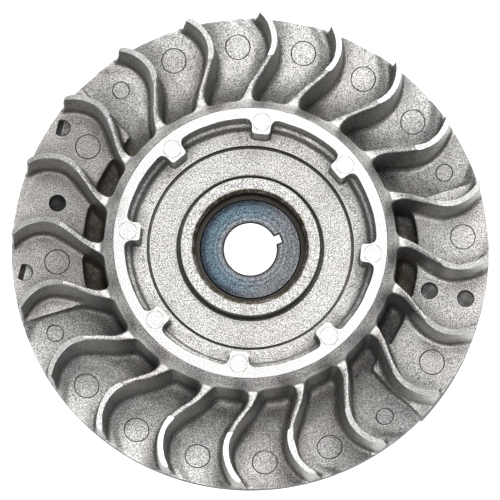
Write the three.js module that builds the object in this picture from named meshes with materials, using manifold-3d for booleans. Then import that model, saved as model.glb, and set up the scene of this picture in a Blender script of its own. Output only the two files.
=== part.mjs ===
// Flywheel of a small two-stroke engine, with cooling fan blades and a starter collar.
// Millimetres. +Z points to the fan side; the origin is on the axis, in the rearmost plane.
import * as THREE from 'three';
import { mergeVertices } from 'three/addons/utils/BufferGeometryUtils.js';
import Module from 'manifold-3d';

const wasm = await Module();
wasm.setup();

// ---- Driving dimensions -------------------------------------------------------------------
const GAP = 0.3;                  // clearance between neighbouring pieces
const RING_SEGMENTS = 80;         // facets of the large turned shapes
const HUB_SEGMENTS = 56;          // facets of the turned shapes near the axis
const RIVET_SEGMENTS = 10;
const RIM_RADIUS = 75;
const RIM_FACE = 16;              // height of the platforms' front face
const COLLAR_TOP = 33.6;

// The dished web in section: radius and height, from the collar to the rim.
const WEB_FRONT = [[50, 7.7], [55, 9], [72, 14.5], [RIM_RADIUS, 15.5]];
const WEB_BACK = [[50, 3.2], [55, 4.6], [72, 10.4], [RIM_RADIUS, 11]];
const WEB_FRONT_AT_COLLAR = 7.5;
const WEB_BACK_AT_COLLAR = 3;

const BLADE_COUNT = 20;
const BLADE_PITCH = 360 / BLADE_COUNT;
const FIRST_FOOT_ANGLE = 1.35;    // degrees, blade root on the collar
const BLADE_END_RADIUS = 74.6;
const BLADE_BLANK_TOP = 40;       // blades are raised to this height, then trimmed to their crest
// Blade centre line and crest: radius, angle from the root in degrees, half width, crest height.
const BLADE_STATIONS = [
  { radius: 46.0, swing: 0.0, half: 1.9, crest: 28.8 },
  { radius: 48.0, swing: -0.4, half: 1.5, crest: 28.9 },
  { radius: 51.0, swing: -1.9, half: 1.2, crest: 30.0 },
  { radius: 54.0, swing: -4.2, half: 1.2, crest: 31.4 },
  { radius: 57.0, swing: -6.1, half: 1.2, crest: 32.6 },
  { radius: 60.0, swing: -7.5, half: 1.2, crest: 33.3 },
  { radius: 63.0, swing: -8.2, half: 1.15, crest: 32.7 },
  { radius: 66.0, swing: -8.0, half: 1.1, crest: 32.0 },
  { radius: 69.0, swing: -7.2, half: 1.05, crest: 31.3 },
  { radius: 72.0, swing: -5.8, half: 1.0, crest: 30.6 },
  { radius: BLADE_END_RADIUS, swing: -3.8, half: 0.95, crest: 30.0 },
];

const LUG_COUNT = 8;
const FIRST_LUG_ANGLE = 39.6;
const LUG_TIP_RADIUS = 34.4;
const LUG_HALF_WIDTH = 2.8;
const LUG_FILLET = 2.2;
const LUG_BOTTOM = 24.6;
const LUG_ROOT_DEPTH = 1.2;       // how far a lug reaches into the pocket wall
const LUG_CORNER = 0.6;
const POCKET_RADIUS = 39.4;
const COLLAR_FOOT_RADIUS = 46.5;
const COLLAR_FOOT_TOP = 8;        // where the foot ends and the leaning outer wall starts
const COLLAR_SHOULDER = [45.5, 29.7];
const COLLAR_FACE_RADIUS = 42.3;  // outer edge of the turned front face
const COLLAR_BACK = 3;
const COLLAR_INNER_BACK_RADIUS = 41.8;
const COLLAR_INNER_RADIUS = 41;
const LEDGE_OUTER = [38.6, 28.1];
const LEDGE_INNER = [37.5, 27.9];

const PLATE_BACK = 17.8;
const PLATE_RADIUS = 36.8;
const FLOOR_OUTER_TOP = 24.2;
const FLOOR_STEP_RADIUS = 32.2;
const FLOOR_STEP_TOP = 23.9;
const FLOOR_INNER_TOP = 22.8;
const BOSS_RADIUS = 21.9;
const BOSS_TOP = 25.6;
const BOSS_BACK_RADIUS = 19.8;
const BOSS_BACK = 0.6;
const BOSS_EDGE_RADIUS = 18.2;    // outer edge of the boss's inner chamfer
const BOSS_WELL_RADIUS = 17.2;
const BOSS_CHAMFER_DEPTH = 1.1;

const STEEL_RADIUS = 15.8;
const STEEL_TOP = 20.5;
const STEEL_EDGE = 0.5;           // chamfer at the back edge
const STEEL_FRONT_EDGE = 0.3;
// Groove round the steel insert that keys it into the casting: radius and height.
const STEEL_GROOVE = [[STEEL_RADIUS, 6], [STEEL_RADIUS - 1.2, 7], [STEEL_RADIUS - 1.2, 9], [STEEL_RADIUS, 10]];
const BORE_FRONT_RADIUS = 8.25;
const BORE_BACK_RADIUS = 9.3;     // the bore is a 1:10 taper, wider at the back
const KEYWAY_WIDTH = 2.57;
const KEYWAY_DEPTH = 1.85;
const KEYWAY_ANGLE = 20.2;

const HOUSING_INNER_RADIUS = 53;
const HOUSING_HALF_ANGLE = 30.7;
const MAGNET_HOUSING_ANGLE = 166.6;
const COUNTERWEIGHT_ANGLE = -13.4;
const CORE_HOLE_RADIUS = 2.75;
const MAGNET_HOLE = [62.7, 165.7];           // radius and angle of each core-pin hole
const POLE_HOLES = [[71.4, 146.3], [71.2, 185.35]];

const MAGNET_AXIS_ANGLE = 165.8;
const MAGNET_RADIAL = [58, 67];
const MAGNET_HALF_WIDTH = 6;
const MAGNET_HEIGHTS = [2, 12];
const POLE_FACE_ANGLES = [13.2, 25];   // degrees from the magnet's axis
const POLE_NECK = [69, 13];            // corners of the pole shoe, along and across the magnet's axis
const POLE_HEEL = [62, 26];
const POLE_BACK = [59, 15];
const WINDOW_REACH = 3;                // how far the pocket's cutter runs out through the rim
const LAMINATION_COUNT = 8;
const LAMINATION_THICKNESS = 1;
const STACK_BACK = 2;
const RIVET_RADIUS = 1.3;
const RIVET_HEAD_RADIUS = 2.1;
const RIVET_HEAD_HEIGHT = 0.6;
const RIVET_PLACES = [[63.5, 11.5], [66.5, 20]];

const INSERT_RADII = [55.6, 72];
const INSERT_HALF_ANGLE = 9.5;
const INSERT_HEIGHTS = [0.6, 11.4];
const INSERT_CUT_DEPTH = 0.9;          // how far the insert's pocket is cut past its back face
const COUNTERWEIGHT_HOLES = [57.6, 69.2];
const COUNTERWEIGHT_HOLE_ANGLE = -12.5;

// ---- Materials -----------------------------------------------------------------------------
const cast = () => new THREE.MeshStandardMaterial({ color: 0xb4b2ad, roughness: 0.62, metalness: 0.75 });
const turned = () => new THREE.MeshStandardMaterial({ color: 0x5d7486, roughness: 0.38, metalness: 0.9 });
const lamination = () => new THREE.MeshStandardMaterial({ color: 0x6f6d6a, roughness: 0.55, metalness: 0.85 });
const rivet = () => new THREE.MeshStandardMaterial({ color: 0x8f8d88, roughness: 0.45, metalness: 0.9 });
const magnetic = () => new THREE.MeshStandardMaterial({ color: 0x39383a, roughness: 0.7, metalness: 0.3 });
const weight = () => new THREE.MeshStandardMaterial({ color: 0x7d7b77, roughness: 0.6, metalness: 0.8 });

// ---- Helpers -------------------------------------------------------------------------------
const radians = (degrees) => degrees * Math.PI / 180;

// A closed three.js geometry becomes a solid that can be joined and cut.
function solid(geometry) {
  const bare = geometry.clone();
  bare.deleteAttribute('normal');
  bare.deleteAttribute('uv');
  const merged = mergeVertices(bare, 1e-4);
  return new wasm.Manifold(new wasm.Mesh({
    numProp: 3,
    vertProperties: new Float32Array(merged.attributes.position.array),
    triVerts: new Uint32Array(merged.index.array),
  }));
}

// A solid turned about +Z; the outline is [radius, height] points that run counterclockwise.
function turnedSolid(outline, segments = RING_SEGMENTS) {
  const points = [...outline, outline[0]].map(([radius, height]) => new THREE.Vector2(radius, height));
  const geometry = new THREE.LatheGeometry(points, segments);
  geometry.rotateX(Math.PI / 2);
  return solid(geometry);
}

// A flat shape raised from one height to another.
function raised(shape, bottom, top, curveSegments = 6) {
  const depth = top - bottom;
  const geometry = new THREE.ExtrudeGeometry(shape, { depth, bevelEnabled: false, curveSegments });
  geometry.translate(0, 0, bottom);
  return solid(geometry);
}

// An upright cylinder at a polar place.
function post(radius, bottom, top, placeRadius, placeAngle, segments = 20) {
  const geometry = new THREE.CylinderGeometry(radius, radius, top - bottom, segments);
  geometry.rotateX(Math.PI / 2);
  const angle = radians(placeAngle);
  geometry.translate(placeRadius * Math.cos(angle), placeRadius * Math.sin(angle), (bottom + top) / 2);
  return solid(geometry);
}

// A ring sector in plan, between two radii and two angles.
function sectorShape(inner, outer, from, to) {
  const shape = new THREE.Shape();
  shape.absarc(0, 0, outer, radians(from), radians(to), false);
  shape.absarc(0, 0, inner, radians(to), radians(from), true);
  shape.closePath();
  return shape;
}

const group = new THREE.Group();
group.name = 'flywheel';

function addPiece(name, body, material) {
  const mesh = body.getMesh();
  const geometry = new THREE.BufferGeometry();
  geometry.setAttribute('position', new THREE.BufferAttribute(new Float32Array(mesh.vertProperties), 3));
  geometry.setIndex(new THREE.BufferAttribute(new Uint32Array(mesh.triVerts), 1));
  geometry.computeVertexNormals();
  const piece = new THREE.Mesh(geometry, material);
  piece.name = name;
  group.add(piece);
}

// ---- Web -----------------------------------------------------------------------------------
// Front face of the dished web, from the collar to the rim, raised by a clearance.
const webFront = (lift) => [
  [COLLAR_FOOT_RADIUS + GAP, WEB_FRONT_AT_COLLAR + lift],
  ...WEB_FRONT.map(([radius, height]) => [radius, height + lift]),
];

function housingBlock(angle, grow) {
  const half = HOUSING_HALF_ANGLE + grow * 180 / Math.PI / RIM_RADIUS;
  const outer = RIM_RADIUS + (grow > 0 ? 1 : 0);
  const shape = sectorShape(HOUSING_INNER_RADIUS - grow, outer, angle - half, angle + half);
  return raised(shape, -grow, RIM_FACE + grow, 17);
}

function webDisc() {
  const back = [[COLLAR_FOOT_RADIUS + GAP, WEB_BACK_AT_COLLAR], ...WEB_BACK];
  const disc = turnedSolid([...back, ...webFront(0).reverse()]);
  return disc
    .subtract(housingBlock(MAGNET_HOUSING_ANGLE, GAP))
    .subtract(housingBlock(COUNTERWEIGHT_ANGLE, GAP));
}

// ---- Fan blades ----------------------------------------------------------------------------
function bladeShape(footAngle) {
  const left = [];
  const right = [];
  for (const { radius, swing, half } of BLADE_STATIONS) {
    const angle = radians(footAngle + swing);
    const spread = half / radius;
    left.push(new THREE.Vector2(radius * Math.cos(angle + spread), radius * Math.sin(angle + spread)));
    right.push(new THREE.Vector2(radius * Math.cos(angle - spread), radius * Math.sin(angle - spread)));
  }
  return new THREE.Shape([...right, ...left.reverse()]);
}

function fanBlades() {
  const inside = 30;
  const root = 40;
  const outside = RIM_RADIUS + 2;
  const overhead = 60;
  const crest = BLADE_STATIONS.map((station) => [station.radius, station.crest]);
  const [first, last] = [crest[0], crest[crest.length - 1]];
  const above = turnedSolid([
    [root, first[1]], ...crest, [outside, last[1]], [outside, overhead], [root, overhead],
  ]);
  const floor = webFront(GAP);
  const below = turnedSolid([[root, -5], [outside, -5], [outside, floor[floor.length - 1][1]],
    ...floor.reverse(), [root, WEB_FRONT_AT_COLLAR + GAP]]);
  const platforms = housingBlock(MAGNET_HOUSING_ANGLE, GAP).add(housingBlock(COUNTERWEIGHT_ANGLE, GAP));
  const [shoulderRadius, shoulderHeight] = COLLAR_SHOULDER;
  const collarWall = turnedSolid([
    [inside, 0], [COLLAR_FOOT_RADIUS + GAP, 0], [COLLAR_FOOT_RADIUS + GAP, COLLAR_FOOT_TOP],
    [shoulderRadius + GAP, shoulderHeight], [shoulderRadius + GAP, overhead], [inside, overhead],
  ]);
  const cutter = above.add(below).add(platforms).add(collarWall);
  for (let i = 0; i < BLADE_COUNT; i += 1) {
    const blade = raised(bladeShape(FIRST_FOOT_ANGLE + i * BLADE_PITCH), 5, BLADE_BLANK_TOP);
    addPiece(`fan_blade_${String(i + 1).padStart(2, '0')}`, blade.subtract(cutter), cast());
  }
}

// ---- Starter collar ------------------------------------------------------------------------
// One inward lug along +X: flat tip, straight flanks, and a fillet into the pocket wall each side.
function lugShape() {
  const filletY = LUG_HALF_WIDTH + LUG_FILLET;
  const filletX = Math.sqrt((POCKET_RADIUS - LUG_FILLET) ** 2 - filletY ** 2);
  const wallAngle = Math.atan2(filletY, filletX);
  const rootRadius = POCKET_RADIUS + LUG_ROOT_DEPTH;
  const corner = LUG_CORNER;
  const shape = new THREE.Shape();
  shape.moveTo(LUG_TIP_RADIUS, -LUG_HALF_WIDTH + corner);
  shape.lineTo(LUG_TIP_RADIUS + corner, -LUG_HALF_WIDTH);
  shape.absarc(filletX, -filletY, LUG_FILLET, Math.PI / 2, -wallAngle, true);
  shape.lineTo(rootRadius * Math.cos(wallAngle), -rootRadius * Math.sin(wallAngle));
  shape.lineTo(rootRadius * Math.cos(wallAngle), rootRadius * Math.sin(wallAngle));
  shape.absarc(filletX, filletY, LUG_FILLET, wallAngle, -Math.PI / 2, true);
  shape.lineTo(LUG_TIP_RADIUS + corner, LUG_HALF_WIDTH);
  shape.lineTo(LUG_TIP_RADIUS, LUG_HALF_WIDTH - corner);
  shape.closePath();
  return shape;
}

function starterCollar() {
  let collar = turnedSolid([
    [PLATE_RADIUS + GAP, PLATE_BACK], [COLLAR_INNER_RADIUS, PLATE_BACK - 1],
    [COLLAR_INNER_BACK_RADIUS, COLLAR_BACK], [COLLAR_FOOT_RADIUS, COLLAR_BACK],
    [COLLAR_FOOT_RADIUS, COLLAR_FOOT_TOP], COLLAR_SHOULDER,
    [COLLAR_FACE_RADIUS, COLLAR_TOP], [POCKET_RADIUS, COLLAR_TOP],
    LEDGE_OUTER, LEDGE_INNER, [PLATE_RADIUS + GAP, FLOOR_OUTER_TOP + 1.1],
  ]);
  // The pocket wall and the ledge lean out, so the lugs reach into the ring at every height.
  for (let i = 0; i < LUG_COUNT; i += 1) {
    const lug = raised(lugShape(), LUG_BOTTOM, COLLAR_TOP, 4);
    const angle = FIRST_LUG_ANGLE + i * 360 / LUG_COUNT;
    collar = collar.add(lug.rotate([0, 0, angle]));
  }
  return collar;
}

// ---- Recess floor and hub boss --------------------------------------------------------------
function hubPlate() {
  return turnedSolid([
    [BOSS_RADIUS + GAP, PLATE_BACK], [PLATE_RADIUS, PLATE_BACK], [PLATE_RADIUS, FLOOR_OUTER_TOP],
    [FLOOR_STEP_RADIUS, FLOOR_STEP_TOP], [FLOOR_STEP_RADIUS - 0.2, FLOOR_INNER_TOP],
    [BOSS_RADIUS + GAP, FLOOR_INNER_TOP],
  ], HUB_SEGMENTS);
}

function hubBoss() {
  const bore = STEEL_RADIUS + GAP;
  return turnedSolid([
    [bore, BOSS_BACK], [BOSS_BACK_RADIUS - 0.4, BOSS_BACK], [BOSS_BACK_RADIUS, PLATE_BACK - GAP],
    [BOSS_RADIUS, PLATE_BACK], [BOSS_RADIUS, BOSS_TOP], [BOSS_EDGE_RADIUS, BOSS_TOP],
    [BOSS_WELL_RADIUS, BOSS_TOP - BOSS_CHAMFER_DEPTH], [BOSS_WELL_RADIUS - 0.1, STEEL_TOP],
    [bore, STEEL_TOP - 0.5],
  ], HUB_SEGMENTS);
}

function steelHub() {
  const sleeve = turnedSolid([
    [BORE_BACK_RADIUS, 0], [STEEL_RADIUS - STEEL_EDGE, 0], [STEEL_RADIUS, STEEL_EDGE],
    ...STEEL_GROOVE,
    [STEEL_RADIUS, STEEL_TOP - STEEL_FRONT_EDGE], [STEEL_RADIUS - STEEL_FRONT_EDGE, STEEL_TOP],
    [BORE_FRONT_RADIUS, STEEL_TOP],
  ], HUB_SEGMENTS);
  const keyway = new THREE.Shape([
    new THREE.Vector2(0, -1),
    new THREE.Vector2(BORE_BACK_RADIUS + KEYWAY_DEPTH, -1),
    new THREE.Vector2(BORE_FRONT_RADIUS + KEYWAY_DEPTH, STEEL_TOP + 1),
    new THREE.Vector2(0, STEEL_TOP + 1),
  ]);
  const slot = new THREE.ExtrudeGeometry(keyway, { depth: KEYWAY_WIDTH, bevelEnabled: false });
  slot.translate(0, 0, -KEYWAY_WIDTH / 2);
  slot.rotateX(Math.PI / 2);
  slot.rotateZ(radians(KEYWAY_ANGLE));
  return sleeve.subtract(solid(slot));
}

// ---- Magnet, pole shoes and their housing -----------------------------------------------------
// Outline of a pole shoe beside the magnet, with +X out along the magnet's axis and side +1 or -1.
// A grown outline is the pocket that holds it, and runs out through the rim.
function poleOutline(side, grow) {
  const from = radians(POLE_FACE_ANGLES[0]) - grow / RIM_RADIUS;
  const to = radians(POLE_FACE_ANGLES[1]) + grow / RIM_RADIUS;
  const polar = (radius, angle) => [radius * Math.cos(angle), radius * Math.sin(angle)];
  const face = [0, 0.25, 0.5, 0.75, 1].map((t) => polar(RIM_RADIUS, from + (to - from) * t));
  const reach = RIM_RADIUS + WINDOW_REACH;
  const window = [polar(RIM_RADIUS, from), polar(reach, from), polar(reach, to), polar(RIM_RADIUS, to)];
  const points = [
    [MAGNET_RADIAL[0] - grow, MAGNET_HALF_WIDTH + GAP - grow],
    [MAGNET_RADIAL[1] + grow, MAGNET_HALF_WIDTH + GAP - grow],
    [POLE_NECK[0] + grow, POLE_NECK[1] - grow],
    ...(grow > 0 ? window : face),
    [POLE_HEEL[0] - grow, POLE_HEEL[1] + grow],
    [POLE_BACK[0] - grow, POLE_BACK[1] + grow],
  ];
  return new THREE.Shape(points.map(([x, y]) => new THREE.Vector2(x, side * y)));
}

const stackTop = STACK_BACK + LAMINATION_COUNT * LAMINATION_THICKNESS + (LAMINATION_COUNT - 1) * GAP;

function rivetSolid(place, grow) {
  const shank = RIVET_RADIUS + grow;
  const head = RIVET_HEAD_RADIUS + grow;
  const bottom = STACK_BACK - GAP - RIVET_HEAD_HEIGHT - grow;
  const top = stackTop + GAP + RIVET_HEAD_HEIGHT + grow;
  const outline = [
    [0, bottom], [head, bottom], [head, STACK_BACK - GAP + grow], [shank, STACK_BACK - GAP + grow],
    [shank, stackTop + GAP - grow], [head, stackTop + GAP - grow], [head, top], [0, top],
  ];
  const points = outline.map(([radius, height]) => new THREE.Vector2(radius, height));
  const geometry = new THREE.LatheGeometry(points, RIVET_SEGMENTS);
  geometry.rotateX(Math.PI / 2);
  geometry.translate(place[0], place[1], 0);
  return solid(geometry);
}

const onMagnetAxis = (body) => body.rotate([0, 0, MAGNET_AXIS_ANGLE]);
const rivetPlace = ([x, y], side) => [x, side * y];

function magnetBlock(grow) {
  const [inner, outer] = MAGNET_RADIAL;
  const [back, front] = MAGNET_HEIGHTS;
  const size = [outer - inner, 2 * MAGNET_HALF_WIDTH, front - back];
  const geometry = new THREE.BoxGeometry(...size.map((length) => length + 2 * grow));
  geometry.translate((inner + outer) / 2, 0, (back + front) / 2);
  return onMagnetAxis(solid(geometry));
}

function poleShoes() {
  for (const [label, side] of [['leading', 1], ['trailing', -1]]) {
    const rivets = RIVET_PLACES.map((place) => rivetPlace(place, side));
    for (let i = 0; i < LAMINATION_COUNT; i += 1) {
      const bottom = STACK_BACK + i * (LAMINATION_THICKNESS + GAP);
      let sheet = raised(poleOutline(side, 0), bottom, bottom + LAMINATION_THICKNESS);
      for (const place of rivets) {
        sheet = sheet.subtract(rivetSolid(place, GAP));
      }
      addPiece(`pole_lamination_${label}_${i + 1}`, onMagnetAxis(sheet), lamination());
    }
    rivets.forEach((place, i) => {
      addPiece(`pole_rivet_${label}_${i + 1}`, onMagnetAxis(rivetSolid(place, 0)), rivet());
    });
  }
}

function magnetHousing() {
  let housing = housingBlock(MAGNET_HOUSING_ANGLE, 0).subtract(magnetBlock(GAP));
  for (const side of [1, -1]) {
    const bottom = STACK_BACK - RIVET_HEAD_HEIGHT - 2 * GAP;
    const top = stackTop + RIVET_HEAD_HEIGHT + 2 * GAP;
    const pocket = raised(poleOutline(side, GAP), bottom, top);
    housing = housing.subtract(onMagnetAxis(pocket));
  }
  housing = housing.subtract(post(CORE_HOLE_RADIUS, MAGNET_HEIGHTS[1], RIM_FACE + 1, ...MAGNET_HOLE));
  for (const place of POLE_HOLES) {
    housing = housing.subtract(post(CORE_HOLE_RADIUS, stackTop, RIM_FACE + 1, ...place));
  }
  return housing;
}

// ---- Counterweight -----------------------------------------------------------------------------
function counterweightInsert(grow) {
  const half = INSERT_HALF_ANGLE + grow;
  const shape = sectorShape(INSERT_RADII[0] - grow, INSERT_RADII[1] + grow,
    COUNTERWEIGHT_ANGLE - half, COUNTERWEIGHT_ANGLE + half);
  const bottom = INSERT_HEIGHTS[0] - (grow > 0 ? INSERT_CUT_DEPTH : 0);
  return raised(shape, bottom, INSERT_HEIGHTS[1] + grow, 6);
}

function counterweightHousing() {
  let housing = housingBlock(COUNTERWEIGHT_ANGLE, 0).subtract(counterweightInsert(GAP));
  for (const radius of COUNTERWEIGHT_HOLES) {
    const hole = post(CORE_HOLE_RADIUS, INSERT_HEIGHTS[1], RIM_FACE + 1, radius, COUNTERWEIGHT_HOLE_ANGLE);
    housing = housing.subtract(hole);
  }
  return housing;
}

// ---- Assembly ------------------------------------------------------------------------------------
addPiece('web_disc', webDisc(), cast());
addPiece('magnet_housing', magnetHousing(), cast());
addPiece('counterweight_housing', counterweightHousing(), cast());
addPiece('starter_collar', starterCollar(), cast());
addPiece('hub_plate', hubPlate(), cast());
addPiece('hub_boss', hubBoss(), cast());
fanBlades();
addPiece('steel_hub', steelHub(), turned());
addPiece('magnet', magnetBlock(0), magnetic());
poleShoes();
addPiece('counterweight_insert', counterweightInsert(0), weight());

export default group;
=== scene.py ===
"""Flywheel of a small two-stroke engine: the looks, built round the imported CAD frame.

The aluminium casting is made here as one continuous mesh: a distance field of its cast shape is meshed
with OpenVDB, then its turned faces, bores, core-pin holes and ejector marks are cut with Booleans.
Field work is in millimetres; every Blender object is in metres.
"""
import math

import bmesh
import bpy
import numpy as np
import openvdb
from mathutils import Matrix, Vector


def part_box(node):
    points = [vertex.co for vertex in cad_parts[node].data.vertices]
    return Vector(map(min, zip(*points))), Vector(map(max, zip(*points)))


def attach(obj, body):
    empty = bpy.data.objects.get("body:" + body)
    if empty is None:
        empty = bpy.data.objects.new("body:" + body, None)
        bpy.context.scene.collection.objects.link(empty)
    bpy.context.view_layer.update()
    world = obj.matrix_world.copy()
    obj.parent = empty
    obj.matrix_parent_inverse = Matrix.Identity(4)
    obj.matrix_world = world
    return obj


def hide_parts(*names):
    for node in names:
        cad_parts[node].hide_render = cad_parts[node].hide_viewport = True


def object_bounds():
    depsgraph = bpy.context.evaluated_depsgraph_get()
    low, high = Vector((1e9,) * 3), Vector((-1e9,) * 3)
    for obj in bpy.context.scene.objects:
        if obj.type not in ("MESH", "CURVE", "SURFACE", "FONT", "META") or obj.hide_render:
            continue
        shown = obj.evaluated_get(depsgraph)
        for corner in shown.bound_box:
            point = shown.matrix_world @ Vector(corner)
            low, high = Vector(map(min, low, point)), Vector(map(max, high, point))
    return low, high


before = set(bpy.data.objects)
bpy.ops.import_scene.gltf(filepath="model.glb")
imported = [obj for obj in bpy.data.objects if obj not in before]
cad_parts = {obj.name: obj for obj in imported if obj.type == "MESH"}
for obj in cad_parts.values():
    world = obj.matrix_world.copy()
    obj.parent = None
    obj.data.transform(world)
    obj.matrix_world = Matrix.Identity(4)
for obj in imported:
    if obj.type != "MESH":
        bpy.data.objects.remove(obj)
CAD_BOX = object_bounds()
MM = 0.001


# ---- Driving dimensions, from the frame ---------------------------------------------------------

def low(node):
    return [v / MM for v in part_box(node)[0]]


def high(node):
    return [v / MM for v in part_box(node)[1]]


RIM_RADIUS = CAD_BOX[1].y / MM - 0.02
COLLAR_TOP = high("starter_collar")[2]
COLLAR_FOOT = high("starter_collar")[1]
PLATE_BACK = low("hub_plate")[2]
PLATE_TOP = high("hub_plate")[2]
PLATE_RADIUS = high("hub_plate")[0]
BOSS_RADIUS = high("hub_boss")[0]
BOSS_TOP = high("hub_boss")[2]
STEEL_RADIUS = high("steel_hub")[0]
STEEL_TOP = high("steel_hub")[2]
PLATFORM = high("magnet_housing")[2]
INSERT_TOP = high("counterweight_insert")[2]
MAGNET_TOP = high("magnet")[2]
STACK_TOP = high("pole_lamination_leading_8")[2]

BLADES = sorted(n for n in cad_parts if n.startswith("fan_blade"))
CASTING_NODES = ["web_disc", "magnet_housing", "counterweight_housing", "starter_collar", "hub_plate",
                 "hub_boss", *BLADES]

# ---- The cast shape, as on the drawing (millimetres and degrees) ---------------------------------

BLADE_PITCH = 360 / len(BLADES)
FIRST_FOOT_ANGLE = 1.35
BLADE_END = 74.6
# Blade centre line: radius, swing from the root in degrees, half width at the crest, crest height.
BLADE_STATIONS = np.array([
    (45.0, 0.2, 2.0, 28.6),
    (46.5, 0.0, 1.75, 28.8),
    (48.0, -0.4, 1.2, 29.0),
    (51.0, -1.9, 0.85, 30.0),
    (54.0, -4.2, 0.8, 31.4),
    (57.0, -6.1, 0.8, 32.6),
    (60.0, -7.5, 0.8, 33.3),
    (63.0, -8.2, 0.8, 32.7),
    (66.0, -8.0, 0.8, 32.0),
    (69.0, -7.2, 0.8, 31.3),
    (72.0, -5.8, 0.8, 30.6),
    (75.0, -3.6, 0.8, 30.0),
    (78.0, -1.0, 0.8, 29.4),
])
BLADE_START = 44.5
# Radius, and the fillet where blades meet the web there.
BLADE_FILLETS = [(50, 1.9), (57, 2.3), (64, 1.5)]
LAND_START = 59.4                 # the blades' crests are turned from here outwards
LAND_STOCK = 0.9                  # left for turning on the crests
FACE_STOCK = 0.6                  # left for turning on the collar and the boss
CONCAVE_DRAFT = math.tan(math.radians(4.0))
CONVEX_DRAFT = math.tan(math.radians(3.2))

LUG_COUNT = 8
FIRST_LUG_ANGLE = 39.6
LUG_TIP = 34.4
LUG_HALF_WIDTH = 2.8
LUG_BACK = 23.0
LUG_DRAFT = 0.02
POCKET_RADIUS = 39.4

HOUSING_ANGLES = (166.6, -13.4)
HOUSING_HALF_ANGLE = 30.7
HOUSING_INNER = 53.0
HOUSING_DRAFT = 0.03
MAGNET_AXIS = 165.8

# The dished web in section: radius and height of its front and back.
WEB_FRONT = [(30, 7.2), (43, 7.2), (46, 7.6), (50, 8.4), (56, 10.0), (63, 12.0), (72, 14.5), (75, 15.4),
             (80, 16.9)]
WEB_BACK = [(30, 3.0), (46, 3.0), (50, 3.2), (55, 4.6), (72, 10.4), (75, 11.0), (80, 11.4)]
WEB_FILLET = 3.4                  # where the collar rises from the web
ROOT_OVERLAP = 2.2                # how deep blades and ledges reach into the web

# Ejector-pin marks: angle, radius of the place, radius of the pin.
LARGE_PIN = 3.88
SMALL_PIN = 2.67
PIN_MARKS = [
    (4.0, 67.0, LARGE_PIN), (22.8, 66.5, SMALL_PIN), (39.3, 66.5, LARGE_PIN), (57.4, 66.5, LARGE_PIN),
    (75.3, 66.5, LARGE_PIN), (93.4, 66.5, LARGE_PIN), (111.4, 66.5, LARGE_PIN), (128.1, 66.5, SMALL_PIN),
    (146.8, 61.3, LARGE_PIN), (183.1, 60.8, LARGE_PIN), (202.6, 66.4, SMALL_PIN), (219.4, 66.4, LARGE_PIN),
    (237.6, 66.4, LARGE_PIN), (255.6, 66.4, LARGE_PIN), (273.9, 66.4, LARGE_PIN), (292.0, 66.3, LARGE_PIN),
    (309.1, 66.8, SMALL_PIN), (328.3, 66.8, LARGE_PIN),
]
CORE_HOLE = 2.75
# Core-pin holes: radius and angle of the place, and the height of the bottom.
PLAIN_HOLES = [(62.7, 165.7, MAGNET_TOP), (57.6, -12.5, INSERT_TOP), (69.2, -12.5, INSERT_TOP)]
STEPPED_HOLES = [(71.4, 146.3, PLATFORM - 1.5), (71.2, 185.35, PLATFORM - 1.5)]
BORE_FRONT = 8.25
BORE_BACK = 9.3
KEY_WIDTH = 2.57
KEY_DEPTH = 1.85
KEY_ANGLE = 20.2
# The ledge beside each blade's concave wall: rise, width of its top, width of its slope.
PAD_RISE = 0.8
PAD_FLAT = 2.4
PAD_SLOPE = 3.4
PAD_START = 54.5
PAD_FADE = 4
WAVINESS = 0.022


# ---- Distance fields ------------------------------------------------------------------------------

VOXEL = 0.34
FIELD_LOW = np.array([-76.8, -76.8, -1.6])
FIELD_HIGH = np.array([76.8, 76.8, 36.0])
BAND = 6.0                        # distances are only needed this close to the surface


def smooth_min(a, b, k):
    h = np.maximum(k - np.abs(a - b), 0) / k
    return np.minimum(a, b) - h * h * (k / 4)


def smooth_max(a, b, k):
    return -smooth_min(-a, -b, k)


def polygon_distance(points, x, y):
    """Signed distance to a closed polygon, negative inside."""
    points = np.array(points, float)
    best = np.full(x.shape, 1e9)
    inside = np.zeros(x.shape, bool)
    for (x0, y0), (x1, y1) in zip(points, np.roll(points, -1, axis=0)):
        ex, ey = x1 - x0, y1 - y0
        along = np.clip(((x - x0) * ex + (y - y0) * ey) / (ex * ex + ey * ey), 0, 1)
        best = np.minimum(best, np.hypot(x - x0 - along * ex, y - y0 - along * ey))
        if ey:
            crosses = ((y0 > y) != (y1 > y)) & (x < x0 + (y - y0) / ey * ex)
            inside ^= crosses
    return np.where(inside, -best, best)


def smoothed_table(columns, sigma, step=0.1):
    """The stations as a fine table with their corners rounded off: radius, then each column."""
    r = np.arange(columns[0, 0], columns[-1, 0], step)
    half = int(3 * sigma / step)
    kernel = np.exp(-0.5 * (np.arange(-half, half + 1) * step / sigma) ** 2)
    kernel /= kernel.sum()
    out = [r]
    for c in range(1, columns.shape[1]):
        values = np.interp(r, columns[:, 0], columns[:, c])
        padded = np.pad(values, half, mode="reflect", reflect_type="odd")
        out.append(np.convolve(padded, kernel, mode="valid"))
    return out


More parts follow.
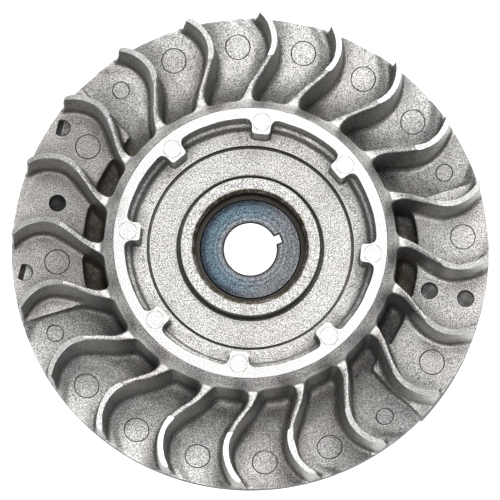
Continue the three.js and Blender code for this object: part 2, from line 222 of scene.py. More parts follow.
def turned_profile(r, z):
    """The casting's round body in section: web, collar, recess floor and hub boss, before machining."""
    web = polygon_distance([*WEB_BACK, *WEB_FRONT[::-1]], r, z)
    collar = polygon_distance([
        (41.0, 16.4), (41.8, 2.6), (46.9, 2.6), (COLLAR_FOOT, 8.0), (45.55, 29.6), (42.5, 33.9),
        (42.3, 34.4), (39.5, 34.4), (38.65, 28.15), (37.5, 27.85),
        (PLATE_RADIUS + 0.2, PLATE_TOP + 0.2), (36.0, 17.0),
    ], r, z)
    plate = polygon_distance([
        (15.0, PLATE_BACK), (41.0, PLATE_BACK), (41.0, 25.2), (37.2, 24.5), (32.4, 23.9), (15.0, 23.9),
    ], r, z)
    boss = polygon_distance([
        (13.0, 0.6), (19.1, 0.6), (20.0, PLATE_BACK), (BOSS_RADIUS + 0.15, 22.0),
        (BOSS_RADIUS - 0.1, BOSS_TOP + FACE_STOCK), (13.0, BOSS_TOP + FACE_STOCK),
    ], r, z)
    hub = smooth_min(smooth_min(plate, boss, 1.2), collar, 1.0)
    return smooth_min(hub, web, WEB_FILLET)


def lug_distance(x, y):
    """Plan distance to the nearest starter lug, from the pocket wall inwards, with filleted roots."""
    pitch = 2 * math.pi / LUG_COUNT
    angle = np.arctan2(y, x) - math.radians(FIRST_LUG_ANGLE)
    angle = (angle + pitch / 2) % pitch - pitch / 2
    r = np.hypot(x, y)
    across = np.abs(r * np.sin(angle)) - LUG_HALF_WIDTH
    lug = smooth_max(across, LUG_TIP - r * np.cos(angle), 1.3)
    return smooth_min(lug, POCKET_RADIUS - r, 3.4)


def housing_distance(x, y):
    """Plan distance to the nearer of the magnet and counterweight housings."""
    r = np.hypot(x, y)
    theta = np.degrees(np.arctan2(y, x))
    best = np.full(x.shape, 1e9)
    for centre in HOUSING_ANGLES:
        away = np.abs((theta - centre + 180) % 360 - 180) - HOUSING_HALF_ANGLE
        side = np.radians(np.clip(away, -60, 60)) * r
        best = np.minimum(best, smooth_max(side, HOUSING_INNER - r, 2.0))
    return best


def blade_field(x, y):
    """Per grid column: side distance to the nearest blade, which side it is on, and the crest there."""
    table_r, swing, half, crest = smoothed_table(BLADE_STATIONS, 1.3)
    r = np.hypot(x, y)
    clipped = np.clip(r, table_r[0], table_r[-1])
    slope = np.gradient(np.radians(swing), table_r)
    lean = 1 / np.sqrt(1 + (np.interp(clipped, table_r, slope) * clipped) ** 2)
    theta = np.degrees(np.arctan2(y, x)) - FIRST_FOOT_ANGLE - np.interp(clipped, table_r, swing)
    folded = (theta + BLADE_PITCH / 2) % BLADE_PITCH - BLADE_PITCH / 2
    across = np.radians(folded) * r * lean
    return across, np.interp(clipped, table_r, half), np.interp(clipped, table_r, crest), r


def cast_waviness(x, y):
    """Faint unevenness of a cast skin: a few crossing waves, given as a function of height."""
    picks = np.random.default_rng(11)
    waves = []
    for length in (5.5, 6.5, 8.0, 10.0, 13.0):
        heading = picks.uniform(0, 2 * math.pi)
        phase = picks.uniform(0, 2 * math.pi)
        rise = picks.uniform(-0.6, 0.6)
        k = 2 * math.pi / length
        waves.append((k * (x * math.cos(heading) + y * math.sin(heading)) + phase, k * rise))
    return lambda z: WAVINESS * sum(np.sin(plan + rise * z) for plan, rise in waves)


def casting_field():
    """The cast shape's signed distance on the grid, in millimetres."""
    counts = np.ceil((FIELD_HIGH - FIELD_LOW) / VOXEL).astype(int)
    xs = FIELD_LOW[0] + VOXEL * np.arange(counts[0])
    ys = FIELD_LOW[1] + VOXEL * np.arange(counts[1])
    zs = FIELD_LOW[2] + VOXEL * np.arange(counts[2])
    x, y = np.meshgrid(xs, ys, indexing="ij")
    across, half, crest, r = blade_field(x, y)
    table_r = np.arange(0, 110, VOXEL / 2)
    section = turned_profile(*np.meshgrid(table_r, zs, indexing="ij"))
    lugs = lug_distance(x, y)
    housing = housing_distance(x, y)
    stock = np.where(r > LAND_START + 0.2, LAND_STOCK, 0.0)
    blade_ends = np.maximum(BLADE_START - r, r - BLADE_END)
    radii, heights = zip(*WEB_FRONT)
    web_front = np.interp(r, radii, heights)
    beside = np.clip((across - half - PAD_FLAT) / PAD_SLOPE, 0, 1)
    reach = np.clip((r - PAD_START) / PAD_FADE, 0, 1)
    pad_top = web_front + PAD_RISE * (1 - beside * beside * (3 - 2 * beside)) * reach
    pad_top = np.where(across > 0, pad_top, -9.0)
    fillet = np.interp(r, *zip(*BLADE_FILLETS))
    waviness = cast_waviness(x, y)
    field = np.empty(tuple(counts), np.float32)
    for k, z in enumerate(zs):
        body = np.interp(r, table_r, section[:, k])
        below_root = web_front - ROOT_OVERLAP - z
        body = np.minimum(body, np.maximum((z - pad_top) * 0.95, below_root))
        block = np.maximum(housing - HOUSING_DRAFT * (z - 8), np.maximum(z - PLATFORM, 0.15 - z))
        body = smooth_min(body, block, 1.5)
        depth = crest - z
        side = np.abs(across) - half - np.where(across > 0, CONCAVE_DRAFT, CONVEX_DRAFT) * depth
        blade = smooth_max(smooth_max(side, -depth - stock, 0.5), blade_ends, 1.3)
        blade = np.maximum(blade, below_root)
        body = smooth_min(body, blade, fillet)
        lug = np.maximum(lugs - LUG_DRAFT * (COLLAR_TOP - z), LUG_BACK - z)
        lug = np.maximum(lug, z - COLLAR_TOP - FACE_STOCK)
        lug = np.maximum(lug, r - 41)
        body = smooth_min(body, lug, 0.5) + waviness(z)
        field[:, :, k] = np.maximum(body, r - RIM_RADIUS - 1)
    return field


def mesh_from_field(name, field):
    grid = openvdb.FloatGrid(background=BAND)
    grid.copyFromArray(np.clip(field, -BAND, BAND))
    grid.transform = openvdb.createLinearTransform(voxelSize=VOXEL)
    grid.gridClass = openvdb.GridClass.LEVEL_SET
    points, _, quads = grid.convertToPolygons(isovalue=0.0, adaptivity=0.0)
    quads = np.asarray(quads, np.int32)
    mesh = bpy.data.meshes.new(name)
    mesh.vertices.add(len(points))
    mesh.vertices.foreach_set("co", ((points + FIELD_LOW) * MM).astype(np.float32).ravel())
    mesh.loops.add(quads.size)
    mesh.loops.foreach_set("vertex_index", quads.ravel())
    mesh.polygons.add(len(quads))
    mesh.polygons.foreach_set("loop_start", np.arange(0, quads.size, 4, dtype=np.int32))
    mesh.update(calc_edges=True)
    mesh.validate()
    return object_from(name, mesh)


# ---- Small mesh builders ---------------------------------------------------------------------------

def object_from(name, mesh):
    piece = bpy.data.objects.new(name, mesh)
    bpy.context.scene.collection.objects.link(piece)
    return piece


def lathe(name, outlines, segments):
    """Closed solids turned about Z. Each outline lists (radius, height); two points may be on the axis."""
    bm = bmesh.new()
    for outline in outlines:
        rings = []
        for radius, height in outline:
            if radius == 0:
                rings.append([bm.verts.new((0, 0, height * MM))])
            else:
                turn = [2 * math.pi * i / segments for i in range(segments)]
                points = [(radius * MM * math.cos(a), radius * MM * math.sin(a), height * MM) for a in turn]
                rings.append([bm.verts.new(point) for point in points])
        for a, b in zip(rings, rings[1:] + rings[:1]):
            if len(a) == 1 and len(b) == 1:
                continue
            for i in range(segments):
                j = (i + 1) % segments
                if len(a) == 1:
                    bm.faces.new((a[0], b[j], b[i]))
                elif len(b) == 1:
                    bm.faces.new((a[i], a[j], b[0]))
                else:
                    bm.faces.new((a[i], a[j], b[j], b[i]))
    bmesh.ops.recalc_face_normals(bm, faces=bm.faces)
    mesh = bpy.data.meshes.new(name)
    bm.to_mesh(mesh)
    bm.free()
    return object_from(name, mesh)


def prisms(name, outlines, place=None):
    """Closed upright prisms: each is (plan points, bottom, top), in millimetres."""
    bm = bmesh.new()
    for points, bottom, top in outlines:
        lower = [bm.verts.new((x * MM, y * MM, bottom * MM)) for x, y in points]
        upper = [bm.verts.new((x * MM, y * MM, top * MM)) for x, y in points]
        bm.faces.new(list(reversed(lower)))
        bm.faces.new(upper)
        for i in range(len(points)):
            j = (i + 1) % len(points)
            bm.faces.new((lower[i], lower[j], upper[j], upper[i]))
    bmesh.ops.recalc_face_normals(bm, faces=bm.faces)
    if place is not None:
        bm.transform(place)
    mesh = bpy.data.meshes.new(name)
    bm.to_mesh(mesh)
    bm.free()
    return object_from(name, mesh)


def polar(radius, degrees):
    return radius * math.cos(math.radians(degrees)), radius * math.sin(math.radians(degrees))


def circle(centre, radius, count=40):
    turn = [2 * math.pi * i / count for i in range(count)]
    return [(centre[0] + radius * math.cos(a), centre[1] + radius * math.sin(a)) for a in turn]


def apply_modifiers(piece):
    graph = bpy.context.evaluated_depsgraph_get()
    mesh = bpy.data.meshes.new_from_object(piece.evaluated_get(graph))
    piece.modifiers.clear()
    old = piece.data
    piece.data = mesh
    bpy.data.meshes.remove(old)


def cut(piece, cutter):
    """Cuts one closed mesh by another, and removes the cutter."""
    modifier = piece.modifiers.new("cut", "BOOLEAN")
    modifier.operation = "DIFFERENCE"
    modifier.solver = "MANIFOLD"
    modifier.object = cutter
    apply_modifiers(piece)
    bpy.data.objects.remove(cutter)


def reduce_faces(piece, target):
    triangles = sum(len(p.vertices) - 2 for p in piece.data.polygons)
    modifier = piece.modifiers.new("thin", "DECIMATE")
    modifier.ratio = min(1.0, target / triangles)
    apply_modifiers(piece)


# ---- Machining -------------------------------------------------------------------------------------

def land_height(radius):
    """The cone that the blades' outer crests are turned to."""
    return np.interp(radius, BLADE_STATIONS[:, 0], BLADE_STATIONS[:, 3])


def turning_cuts():
    """What the lathe takes off: rim, blade lands, collar face, boss, recess floor and the hub's bore."""
    bore = STEEL_RADIUS + 0.08
    rim_and_lands = [
        (LAND_START, land_height(60) + 0.1), (RIM_RADIUS, land_height(RIM_RADIUS)), (RIM_RADIUS, -4),
        (RIM_RADIUS + 5, -4), (RIM_RADIUS + 5, 40), (LAND_START, 40),
    ]
    collar_face = [
        (33, COLLAR_TOP), (42.45, COLLAR_TOP), (42.6, COLLAR_TOP - 0.16), (42.78, COLLAR_TOP - 0.05),
        (44.8, COLLAR_TOP), (44.8, 40), (33, 40),
    ]
    recess = [
        (0, -4), (bore, -4), (bore, STEEL_TOP - 0.3), (17.1, STEEL_TOP - 0.1), (17.2, BOSS_TOP - 1.1),
        (18.2, BOSS_TOP), (BOSS_RADIUS - 0.25, BOSS_TOP), (BOSS_RADIUS, BOSS_TOP - 0.25),
        (BOSS_RADIUS + 0.1, 21.7), (BOSS_RADIUS + 0.3, 21.4), (BOSS_RADIUS + 0.75, 21.5),
        (BOSS_RADIUS + 0.95, 22.5), (BOSS_RADIUS + 1.3, 22.8),
        (31.45, 22.8), (31.6, 21.9), (32.2, 21.9), (32.45, 24.1), (32.45, 30), (0, 30),
    ]
    return lathe("turning", [rim_and_lands, collar_face, recess], 360)


def floor_height(radius, degrees):
    """Height and slope of the bay floor, or of the platform over a housing."""
    for centre in HOUSING_ANGLES:
        if abs((degrees - centre + 180) % 360 - 180) < HOUSING_HALF_ANGLE:
            return PLATFORM, 0.0
    radii, heights = zip(*WEB_FRONT)
    here = float(np.interp(radius, radii, heights))
    ahead = float(np.interp(radius + 0.5, radii, heights))
    return here, (ahead - here) / 0.5


def ring_groove(bm, place, radius, width, depth, segments=64):
    """A closed ring, half sunk, with a triangular section that leaves a V groove."""
    section = [(-width / 2, 0.25), (width / 2, 0.25), (0.0, -depth)]
    rings = []
    for i in range(segments):
        a = 2 * math.pi * i / segments
        ring = []
        for across, up in section:
            point = Vector(((radius + across) * math.cos(a), (radius + across) * math.sin(a), up))
            ring.append(bm.verts.new(place @ (point * MM)))
        rings.append(ring)
    for a, b in zip(rings, rings[1:] + rings[:1]):
        for i in range(len(section)):
            j = (i + 1) % len(section)
            bm.faces.new((a[i], a[j], b[j], b[i]))


def mark_grooves():
    """The fine rings that ejector pins leave round the bays and on the starter lugs."""
    bm = bmesh.new()
    for degrees, radius, pin in PIN_MARKS:
        height, slope = floor_height(radius, degrees)
        x, y = polar(radius, degrees)
        tilt = Matrix.Rotation(math.radians(degrees), 4, "Z") @ Matrix.Rotation(-math.atan(slope), 4, "Y")
        place = Matrix.Translation((x * MM, y * MM, height * MM)) @ tilt
        ring_groove(bm, place, pin, 0.55, 0.4)
    for i in range(LUG_COUNT):
        x, y = polar(38.2, FIRST_LUG_ANGLE + i * 360 / LUG_COUNT)
        place = Matrix.Translation((x * MM, y * MM, COLLAR_TOP * MM))
        ring_groove(bm, place, SMALL_PIN + 0.1, 0.36, 0.2)
    bmesh.ops.recalc_face_normals(bm, faces=bm.faces)
    mesh = bpy.data.meshes.new("grooves")
    bm.to_mesh(mesh)
    bm.free()
    return object_from("grooves", mesh)


def flatted_disc(centre, radius, facing, near, far, count=48):
    """A disc cut by two chords at near and far from its centre, towards the given angle."""
    a = math.radians(facing)
    points = []
    for i in range(count):
        turn = 2 * math.pi * i / count
        along = min(max(radius * math.cos(turn), near), far)
        across = math.copysign(math.sqrt(radius ** 2 - along ** 2), math.sin(turn))
        points.append((centre[0] + along * math.cos(a) - across * math.sin(a),
                       centre[1] + along * math.sin(a) + across * math.cos(a)))
    return [p for p, q in zip(points, points[1:] + points[:1]) if math.dist(p, q) > 1e-6]


def core_holes():
    """Holes left by the core pins that held the inserts in the mould; two are flatted and stepped."""
    holes = [(circle(polar(r, a), CORE_HOLE), bottom - 0.5, PLATFORM + 2) for r, a, bottom in PLAIN_HOLES]
    for radius, degrees, step in STEPPED_HOLES:
        place = polar(radius, degrees)
        outer = flatted_disc(place, CORE_HOLE, MAGNET_AXIS, -9, 1.7)
        slot = flatted_disc(place, CORE_HOLE - 0.06, MAGNET_AXIS, 0.0, 1.65)
        holes.append((outer, step, PLATFORM + 2))
        holes.append((slot, STACK_TOP - 0.5, PLATFORM + 1))
    return holes


def pole_pocket(side):
    """Plan outline of the pocket round one pole shoe, open through the rim, in the magnet's frame."""
    grow = 0.2
    faces = [polar(RIM_RADIUS + 4, a) for a in (12.8, 19, 25.3)]
    points = [(58 - grow, 6.3 - grow), (67 + grow, 6.3 - grow), (69 + grow, 13 - grow), *faces,
              (62 - grow, 26 + grow), (59 - grow, 15 + grow)]
    return [(x, side * y) for x, y in points]


def insert_pockets():
    """Room in the casting for the magnet, the two pole shoes with their rivets, and the counterweight."""
    cos, sin = math.cos(math.radians(MAGNET_AXIS)), math.sin(math.radians(MAGNET_AXIS))

    def placed(points):
        return [(x * cos - y * sin, x * sin + y * cos) for x, y in points]

    magnet = [(57.8, -6.2), (67.2, -6.2), (67.2, 6.2), (57.8, 6.2)]
    pockets = [(placed(magnet), 1.9, MAGNET_TOP + 0.06)]
    for side in (-1, 1):
        pockets.append((placed(pole_pocket(side)), 1.95, STACK_TOP + 0.04))
        for x, y in ((63.5, 11.5), (66.5, 20)):
            pockets.append((placed(circle((x, side * y), 2.3, 24)), 0.95, STACK_TOP + 1.05))
    low_side, high_side = HOUSING_ANGLES[1] - 9.6, HOUSING_ANGLES[1] + 9.6
    sweep = np.linspace(low_side, high_side, 25)
    insert = [polar(72.1, a) for a in sweep] + [polar(55.5, a) for a in sweep[::-1]]
    pockets.append((insert, -3, INSERT_TOP + 0.05))
    return pockets


# ---- The casting -----------------------------------------------------------------------------------

FACE_TARGET = 180000


def make_casting():
    casting = mesh_from_field("casting", casting_field())
    reduce_faces(casting, FACE_TARGET)
    cut(casting, turning_cuts())
    cut(casting, mark_grooves())
    for i, outline in enumerate([*insert_pockets(), *core_holes()]):
        cut(casting, prisms(f"pocket_{i}", [outline]))
    mesh = casting.data
    mesh.shade_smooth()
    mesh.set_sharp_from_angle(angle=math.radians(34))
    return casting


# ---- Camera, light and floor ------------------------------------------------------------------------

CAMERA_ELEVATION = math.radians(80.4)
CAMERA_DISTANCE = 1.294
CAMERA_TARGET = (-0.0001, 0.0005, PLATFORM * MM)
RIM_SHARE = 0.954                 # of the picture's width, taken up by the rim
SENSOR_WIDTH = 36

# Round lamps: place, diameter and power.
LAMPS = {
    "softbox": ((0.14, 0.3, 0.95), 0.8, 4.0),
    "back": ((0.3, 0.62, 0.58), 0.5, 3.2),
    "low_back": ((-0.35, 0.95, 0.25), 0.6, 2.2),
    "front": ((-0.14, -0.42, 0.87), 0.4, 4.3),
}
LAMP_TARGET = (0, 0, 0.01)
FLOOR_GLOW = 0.8                  # keeps the paper under the part white
SKY_COLOUR = (0.95, 0.97, 1.0, 1)
SKY_STRENGTH = 0.12

def look_at(thing, target):
    direction = Vector(target) - thing.location
    thing.rotation_euler = direction.to_track_quat("-Z", "Y").to_euler()


def make_camera():
    """Nearly straight down on the fan side, from the front, with a long lens."""
    target = Vector(CAMERA_TARGET)
    camera = bpy.data.objects.new("camera", bpy.data.cameras.new("camera"))
    bpy.context.scene.collection.objects.link(camera)
    away = Vector((0, -math.cos(CAMERA_ELEVATION), math.sin(CAMERA_ELEVATION)))
    camera.location = target + away * CAMERA_DISTANCE
    camera.data.sensor_width = SENSOR_WIDTH
    camera.data.lens = SENSOR_WIDTH * CAMERA_DISTANCE * RIM_SHARE / (2 * RIM_RADIUS * MM)
    camera.data.clip_end = 20
    look_at(camera, target)
    bpy.context.scene.camera = camera


def area_light(name, location, size, power):
    data = bpy.data.lights.new(name, "AREA")
    data.shape = "DISK"
    data.size = size
    data.energy = power
    light = bpy.data.objects.new(name, data)
    bpy.context.scene.collection.objects.link(light)
    light.location = location
    look_at(light, LAMP_TARGET)


def make_stage():
    """White paper to stand on, a dim even sky and four soft lamps."""
    floor = lathe("floor", [[(0, -2), (3000, -2), (3000, 0), (0, 0)]], 96)
    paper = Shader("floor_paper", colour=(0.9, 0.9, 0.9), roughness=0.9, metallic=0)
    floor.data.materials.append(paper.finish(Emission_Color=(1.0, 1.0, 1.0), Emission_Strength=FLOOR_GLOW))
    floor.location.z = -0.0002
    world = bpy.context.scene.world or bpy.data.worlds.new("world")
    bpy.context.scene.world = world
    world.use_nodes = True
    background = world.node_tree.nodes["Background"]
    background.inputs["Color"].default_value = SKY_COLOUR
    background.inputs["Strength"].default_value = SKY_STRENGTH
    for name, (location, size, power) in LAMPS.items():
        area_light(name, location, size, power)
    bpy.context.scene.view_settings.view_transform = "Standard"


# ---- Materials -------------------------------------------------------------------------------------

class Shader:
    """A material built from nodes, with short names for the nodes it uses often."""

    def __init__(self, name, colour=(0.8, 0.8, 0.8), roughness=0.5, metallic=1.0):
        self.material = bpy.data.materials.new(name)
        self.material.use_nodes = True
        self.nodes = self.material.node_tree.nodes
        self.links = self.material.node_tree.links
        self.surface = self.nodes["Principled BSDF"]
        self.surface.inputs["Base Color"].default_value = (*colour, 1)
        self.surface.inputs["Roughness"].default_value = roughness
        self.surface.inputs["Metallic"].default_value = metallic

    def feed(self, socket, value):
        if isinstance(value, bpy.types.NodeSocket):
            self.links.new(value, socket)
        elif isinstance(value, tuple) and len(value) == 3 and len(socket.default_value) == 4:
            socket.default_value = (*value, 1)
        else:
            socket.default_value = value

    def node(self, kind, values, **settings):
        made = self.nodes.new(kind)
        for key, value in settings.items():
            setattr(made, key, value)
        for key, value in values.items():
            self.feed(made.inputs[key], value)
        return made

    def math(self, operation, *values):
        return self.node("ShaderNodeMath", dict(enumerate(values)), operation=operation).outputs[0]

    def times(self, a, b):
        return self.math("MULTIPLY", a, b)

    def place(self):
        """Position in millimetres, then radius, height and angle in degrees about the axis."""
        at = self.node("ShaderNodeTexCoord", {}).outputs["Object"]
        per_metre = (1 / MM, 1 / MM, 1 / MM)
        scaled = self.node("ShaderNodeVectorMath", {0: at, 1: per_metre}, operation="MULTIPLY").outputs[0]
        parts = self.node("ShaderNodeSeparateXYZ", {0: scaled})
        flat = self.node("ShaderNodeCombineXYZ", {0: parts.outputs[0], 1: parts.outputs[1]}).outputs[0]
        radius = self.node("ShaderNodeVectorMath", {0: flat}, operation="LENGTH").outputs["Value"]
        angle = self.math("DEGREES", self.math("ARCTAN2", parts.outputs[1], parts.outputs[0]))
        return scaled, radius, parts.outputs[2], angle

    def noise(self, at, scale, detail=2.0, roughness=0.5, distortion=0.0):
        values = {"Vector": at, "Scale": scale, "Detail": detail, "Roughness": roughness,
                  "Distortion": distortion}
        return self.node("ShaderNodeTexNoise", values).outputs[0]

    def nearness(self, distance, inside=False):
        """0 in the open, up to 1 where faces close in within the distance; inside finds thin edges."""
        made = self.node("ShaderNodeAmbientOcclusion", {"Distance": distance}, samples=8, inside=inside)
        return self.math("SUBTRACT", 1.0, made.outputs["AO"])

    def facing_up(self):
        """1 on faces that look along the axis, 0 on walls."""
        normal = self.node("ShaderNodeTexCoord", {}).outputs["Normal"]
        up = self.node("ShaderNodeSeparateXYZ", {0: normal}).outputs[2]
        return self.ramp(self.math("ABSOLUTE", up), 0.1, 0.6)

    def line_noise(self, value, scale, detail=2.0):
        values = {"W": value, "Scale": scale, "Detail": detail}
        return self.node("ShaderNodeTexNoise", values, noise_dimensions="1D").outputs[0]

    def ramp(self, value, start, end, low=0.0, high=1.0):
        """A smooth step from low at start to high at end."""
        keys = {0: value, 1: start, 2: end, 3: low, 4: high}
        return self.node("ShaderNodeMapRange", keys, interpolation_type="SMOOTHSTEP").outputs[0]

    def band(self, value, start, end, soft):
        rise = self.ramp(value, start - soft, start)
        return self.times(rise, self.ramp(value, end, end + soft, 1.0, 0.0))

    def mix(self, factor, a, b):
        made = self.nodes.new("ShaderNodeMix")
        made.data_type = "RGBA"
        self.feed(made.inputs[0], factor)
        self.feed(made.inputs[6], a)
        self.feed(made.inputs[7], b)
        return made.outputs[2]

    def shade(self, colour, factor):
        """A colour made darker or lighter by a factor that varies."""
        grey = self.node("ShaderNodeCombineXYZ", {0: factor, 1: factor, 2: factor}).outputs[0]
        return self.node("ShaderNodeVectorMath", {0: colour, 1: grey}, operation="MULTIPLY").outputs[0]

    def bump(self, height, distance, strength):
        values = {"Height": height, "Distance": distance, "Strength": strength}
        return self.node("ShaderNodeBump", values).outputs[0]

    def finish(self, **sockets):
        for name, value in sockets.items():
            self.feed(self.surface.inputs[name.replace("_", " ")], value)
        return self.material


def near_angle(shader, angle, centre, half, soft):
    """1 within half degrees of centre, round the axis, and 0 outside."""
    turned = shader.math("WRAP", shader.math("SUBTRACT", angle, centre), 180.0, -180.0)
    return shader.ramp(shader.math("ABSOLUTE", turned), half, half + soft, 1.0, 0.0)


def cast_material():
    """Blasted die-cast aluminium: fine grain, soft clouding, bright turned faces, and painted shade in the
    corners, on walls, in grooves and the well, on the rim side and the magnet platform.
    """
    s = Shader("cast_aluminium")
    at, radius, height, angle = s.place()
    shut_in = s.nearness(0.008)
    exposed = s.nearness(0.0009, inside=True)
    facing_up = s.facing_up()
    grain = s.noise(at, 2.8, 2.0, 0.6)
    pits = s.noise(at, 1.1, 2.0, 0.5)
    clouds = s.noise(at, 0.09, 3.0, 0.55, 0.6)
    warm = s.noise(at, 0.045, 2.0, 0.5, 0.4)

    colour = s.mix(s.ramp(clouds, 0.35, 0.68), (0.47, 0.46, 0.445), (0.57, 0.565, 0.555))
    colour = s.mix(s.ramp(warm, 0.5, 0.72, 0.0, 0.35), colour, (0.46, 0.415, 0.41))
    # Painted shade: walls drawn darker than faces that look along the axis.
    colour = s.mix(s.ramp(facing_up, 0.0, 1.0, 0.55, 0.0), colour, (0.19, 0.185, 0.175))
    colour = s.shade(colour, s.ramp(grain, 0.34, 0.66, 0.32, 1.62))

    # Painted shade: darker where faces close in, in corners and at the foot of walls, broken up by noise;
    # it also raises roughness there.
    corner_shade = s.times(s.ramp(shut_in, 0.1, 0.62),
                    s.ramp(s.noise(at, 0.5, 3.0, 0.6), 0.3, 0.6, 0.75, 1.0))
    colour = s.mix(s.times(corner_shade, 0.7), colour, (0.095, 0.088, 0.078))
    wear = s.times(s.ramp(exposed, 0.1, 0.5),
                   s.ramp(s.noise(at, 0.8, 2.0, 0.6), 0.35, 0.6, 0.35, 1.0))
    foot = s.times(s.band(radius, 45.4, 48.0, 0.8), s.ramp(height, 27.6, 28.6))
    wear = s.times(wear, s.ramp(radius, LAND_START - 1, LAND_START, 1.0, 0.5))
    wear = s.math("MAXIMUM", wear, foot)
    colour = s.mix(s.times(wear, 0.5), colour, (0.82, 0.81, 0.79))

    trough = s.band(radius, 44.0, 51.5, 4.0)
    sides = s.math("ADD", near_angle(s, angle, 166.0, 27.0, 6.0), near_angle(s, angle, -2.0, 9.0, 5.0))
    blotch = s.ramp(s.noise(at, 0.28, 3.0, 0.6), 0.38, 0.62)
    low_down = s.ramp(height, 9.0, 17.0, 1.0, 0.0)
    stain = s.times(s.times(trough, sides), s.times(blotch, low_down))
    colour = s.mix(s.times(stain, 0.8), colour, (0.19, 0.16, 0.105))

    # Painted shade: the rim's outer side wall drawn dark, less metallic and rougher.
    rim_side_shade = s.times(s.ramp(radius, RIM_RADIUS - 0.3, RIM_RADIUS - 0.1),
                       s.ramp(facing_up, 0.3, 0.8, 1.0, 0.0))
    colour = s.mix(s.times(rim_side_shade, 0.75), colour, (0.09, 0.088, 0.084))

    # Painted shade on the magnet housing's platform, clouded, and widened over the shadow that the blade
    # beside it casts.
    platform_shade = s.times(near_angle(s, angle, 166.0, 30.0, 4.0),
                    s.ramp(height, PLATFORM - 1.0, PLATFORM - 0.3))
    platform_shade = s.times(platform_shade, s.times(s.ramp(height, 18.0, 21.0, 1.0, 0.0),
                                   s.ramp(clouds, 0.3, 0.6, 0.6, 1.0)))
    colour = s.mix(s.times(platform_shade, 0.42), colour, (0.2, 0.18, 0.165))

    # Painted shade in the groove round the boss and the groove at the recess floor's step.
    grooves = s.math("ADD", s.band(radius, BOSS_RADIUS + 0.15, BOSS_RADIUS + 0.55, 0.2),
                     s.band(radius, 31.75, 32.15, 0.15))
    grooves = s.times(grooves, s.ramp(height, 22.3, 22.7, 1.0, 0.0))
    colour = s.mix(s.times(grooves, 0.6), colour, (0.08, 0.075, 0.07))

    burnt = s.times(s.band(radius, 17.0, 18.1, 0.7), s.ramp(height, 23.0, 24.5))
    patchy = s.ramp(s.noise(at, 0.4, 4.0, 0.65), 0.36, 0.58, 0.15, 1.0)
    colour = s.mix(s.times(burnt, patchy), colour, (0.15, 0.12, 0.075))
    # Painted shade: the narrow well round the steel hub drawn near black.
    well_shade = s.times(s.ramp(radius, 17.4, 17.6, 1.0, 0.0), s.ramp(height, 24.9, 24.4))
    colour = s.mix(s.times(well_shade, 0.92), colour, (0.045, 0.038, 0.03))

    land = s.times(s.ramp(radius, LAND_START - 0.2, LAND_START), s.ramp(height, 29.2, 29.6))
    collar_face = s.times(s.ramp(height, COLLAR_TOP - 0.1, COLLAR_TOP - 0.03),
                          s.ramp(radius, 46, 47, 1.0, 0.0))
    turned = s.times(s.math("MAXIMUM", land, collar_face), s.ramp(facing_up, 0.6, 0.9))
    bright = s.times(turned, s.ramp(radius, 46.0, 50.0, 0.45, 0.26))
    colour = s.mix(bright, colour, (0.84, 0.835, 0.82))
    # Painted shade in the fine turned groove on the collar face.
    collar_groove_shade = s.times(s.ramp(height, COLLAR_TOP - 0.3, COLLAR_TOP - 0.2),
                      s.band(radius, 42.5, 42.72, 0.08))
    colour = s.mix(s.times(collar_groove_shade, 0.6), colour, (0.1, 0.1, 0.095))

    depth = s.math("ADD", grain, s.times(pits, 0.3))
    coarse = s.times(depth, s.ramp(turned, 0.0, 1.0, 1.0, 0.3))
    relief = s.bump(coarse, 0.00012, 0.75)
    roughness = s.math("ADD", s.ramp(clouds, 0.3, 0.7, 0.42, 0.54), s.times(corner_shade, 0.2))
    roughness = s.math("ADD", roughness, s.times(rim_side_shade, 0.2))
    metal = s.math("SUBTRACT", 1.0, s.times(rim_side_shade, 0.35))
    return s.finish(Base_Color=colour, Roughness=roughness, Metallic=metal, Normal=relief)


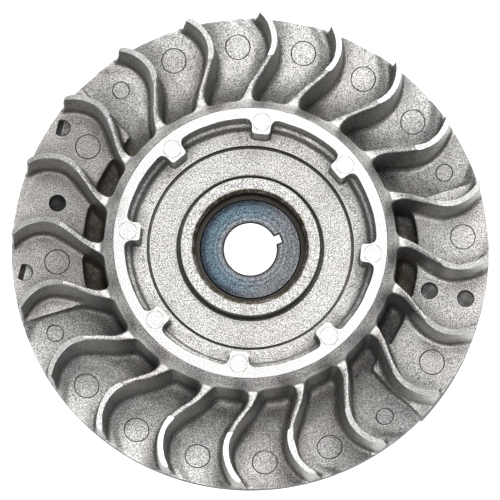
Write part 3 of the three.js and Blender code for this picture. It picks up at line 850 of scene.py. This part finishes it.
def steel_material():
    """Turned steel with a blue temper tint and fine concentric tool marks, painted shade round the bore's
    edge and painted light on the bore's walls.
    """
    s = Shader("turned_steel")
    at, radius, height, angle = s.place()
    lines = s.line_noise(radius, 9.0, 3.0)
    rings = s.line_noise(radius, 1.4, 2.0)
    grain = s.noise(at, 2.5, 2.0, 0.6)
    blue = s.mix(s.ramp(radius, 8.4, 12.0), (0.19, 0.205, 0.22), (0.10, 0.145, 0.18))
    blue = s.mix(s.ramp(radius, 12.6, 15.2), blue, (0.03, 0.038, 0.052))
    side = s.math("COSINE", s.math("RADIANS", s.math("SUBTRACT", angle, 160.0)))
    blue = s.mix(s.ramp(side, 0.35, -0.7, 0.0, 0.75), blue, (0.165, 0.165, 0.17))
    blue = s.shade(blue, s.ramp(rings, 0.3, 0.7, 0.72, 1.25))
    blue = s.shade(blue, s.ramp(grain, 0.34, 0.66, 0.35, 1.65))
    parts = s.node("ShaderNodeSeparateXYZ", {0: at})
    x, y = parts.outputs[0], parts.outputs[1]
    cos, sin = math.cos(math.radians(KEY_ANGLE)), math.sin(math.radians(KEY_ANGLE))
    along = s.math("ADD", s.times(x, cos), s.times(y, sin))
    across = s.math("SUBTRACT", s.times(y, cos), s.times(x, sin))
    beside_key = s.math("MAXIMUM", s.math("SUBTRACT", s.math("ABSOLUTE", across), KEY_WIDTH / 2),
                        s.math("SUBTRACT", along, BORE_FRONT + KEY_DEPTH))
    beside_key = s.math("MAXIMUM", beside_key, s.times(along, -1.0))
    edge = s.math("MINIMUM", beside_key, s.math("SUBTRACT", radius, BORE_FRONT))
    # Painted shade: a dark band round the edge of the bore and the keyway.
    outline = s.ramp(edge, 0.35, 0.75, 0.92, 0.0)
    blue = s.mix(outline, blue, (0.02, 0.02, 0.022))
    # Painted light: the bore's and the keyway's walls drawn near white and smoother, standing in for the
    # white floor seen through the bore.
    below_face = s.ramp(height, STEEL_TOP - 0.1, STEEL_TOP - 0.4)
    inside = s.times(s.ramp(edge, 0.06, 0.02, 0.0, 1.0), below_face)
    inside = s.math("MAXIMUM", inside, s.ramp(radius, BORE_BACK, BORE_BACK - 0.1))
    inside = s.times(inside, below_face)
    colour = s.mix(inside, blue, (0.93, 0.93, 0.93))
    relief = s.bump(s.math("ADD", lines, s.times(grain, 0.6)), 0.00004, 0.6)
    roughness = s.math("SUBTRACT", s.ramp(lines, 0.3, 0.7, 0.34, 0.5), s.times(inside, 0.22))
    return s.finish(Base_Color=colour, Roughness=roughness, Normal=relief)


def plain_steel_material(name, colour, roughness, rust, hole_shade):
    """Stamped or cut steel: grain, darker patches, a touch of rust, and painted shade on faces that look up
    through the core holes.
    """
    s = Shader(name)
    at, _, height, _ = s.place()
    grain = s.noise(at, 2.6, 3.0, 0.6)
    patches = s.noise(at, 0.35, 3.0, 0.6)
    lines = s.line_noise(height, 7.0, 2.0)
    tone = s.mix(s.ramp(patches, 0.35, 0.65), colour, tuple(0.7 * c for c in colour))
    tone = s.mix(s.ramp(patches, 0.62, 0.75, 0.0, rust), tone, (0.22, 0.12, 0.06))
    tone = s.shade(tone, s.ramp(grain, 0.33, 0.67, 0.6, 1.4))
    # Painted shade on faces that look up above the casting's back, as seen down the core holes; the last
    # argument sets how much.
    hole_bottom_shade = s.times(s.facing_up(), s.ramp(height, 11.0, 11.3, 0.0, hole_shade))
    tone = s.mix(hole_bottom_shade, tone, (0.03, 0.028, 0.026))
    relief = s.bump(s.math("ADD", grain, lines), 0.00006, 0.5)
    sheen = s.ramp(patches, 0.3, 0.7, roughness, roughness + 0.15)
    return s.finish(Base_Color=tone, Roughness=sheen, Normal=relief)


def make_steel_hub():
    """The keyed taper-bore insert, turned finer than its CAD solid."""
    front, back = BORE_FRONT, BORE_BACK
    hub = lathe("steel_hub_turned", [[
        (back + 0.4, 0), (STEEL_RADIUS - 0.5, 0), (STEEL_RADIUS, 0.5),
        (STEEL_RADIUS, 6), (STEEL_RADIUS - 1.2, 7), (STEEL_RADIUS - 1.2, 9), (STEEL_RADIUS, 10),
        (STEEL_RADIUS, STEEL_TOP - 0.35), (STEEL_RADIUS - 0.35, STEEL_TOP), (front + 0.25, STEEL_TOP),
        (front, STEEL_TOP - 0.25), (back - 0.02, 0.4),
    ]], 192)
    half = KEY_WIDTH / 2
    turn = Matrix.Rotation(math.radians(KEY_ANGLE), 4, "Z")
    end = front + KEY_DEPTH
    slot = [(0, -half), (end, -half), (end, half), (0, half)]
    cut(hub, prisms("keyway", [(slot, -1, STEEL_TOP + 1)], turn))
    hub.data.shade_smooth()
    hub.data.set_sharp_from_angle(angle=math.radians(30))
    return hub


def hand_over(piece, material, slot, *nodes):
    """Gives a new piece its material, hangs it on the root body and hides the CAD nodes it stands for; slot
    is not used.
    """
    piece.data.materials.clear()
    piece.data.materials.append(material)
    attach(piece, "root")
    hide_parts(*nodes)


make_camera()
make_stage()
hand_over(make_casting(), cast_material(), "cast_aluminium", *CASTING_NODES)
hand_over(make_steel_hub(), steel_material(), "turned_steel", "steel_hub")
carried = {
    "magnet": plain_steel_material("magnet", (0.10, 0.10, 0.105), 0.6, 0.2, 0.3),
    "pole_lamination": plain_steel_material("lamination_steel", (0.30, 0.29, 0.28), 0.4, 0.5, 0.9),
    "pole_rivet": plain_steel_material("rivet_steel", (0.42, 0.41, 0.40), 0.4, 0.2, 0.9),
    "counterweight_insert": plain_steel_material("insert_steel", (0.40, 0.39, 0.38), 0.5, 0.3, 0.35),
}
for node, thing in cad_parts.items():
    for start, material in carried.items():
        if node.startswith(start):
            thing.data.materials.clear()
            thing.data.materials.append(material)
